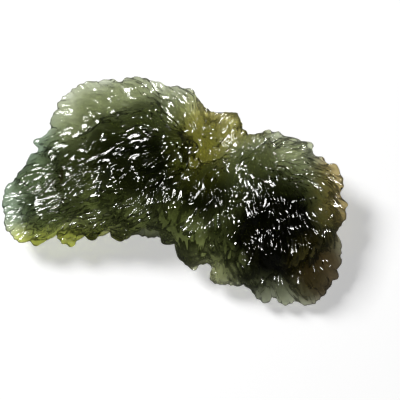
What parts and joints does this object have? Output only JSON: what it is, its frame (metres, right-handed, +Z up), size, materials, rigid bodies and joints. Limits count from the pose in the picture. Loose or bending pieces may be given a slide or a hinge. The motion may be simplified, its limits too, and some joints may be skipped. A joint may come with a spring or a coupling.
{
  "type": "moldavite",
  "caption": "Raw moldavite: one piece of dark green natural glass in two domed lobes with a thin toothed rim, etched all over into pits and outward ridges.",
  "frame": {"origin": "on the floor, under the middle of the stone's box", "axes": "+X along the stone towards its lower right lobe, +Y across it towards the back, +Z up from the belly it lies on"},
  "size_m": [0.038, 0.0258, 0.0087],
  "materials": {
    "moldavite_glass": "etched, glossy on its crests"
  },
  "bodies": {
    "root": {"moldavite": "moldavite_glass"}
  },
  "joints": []
}
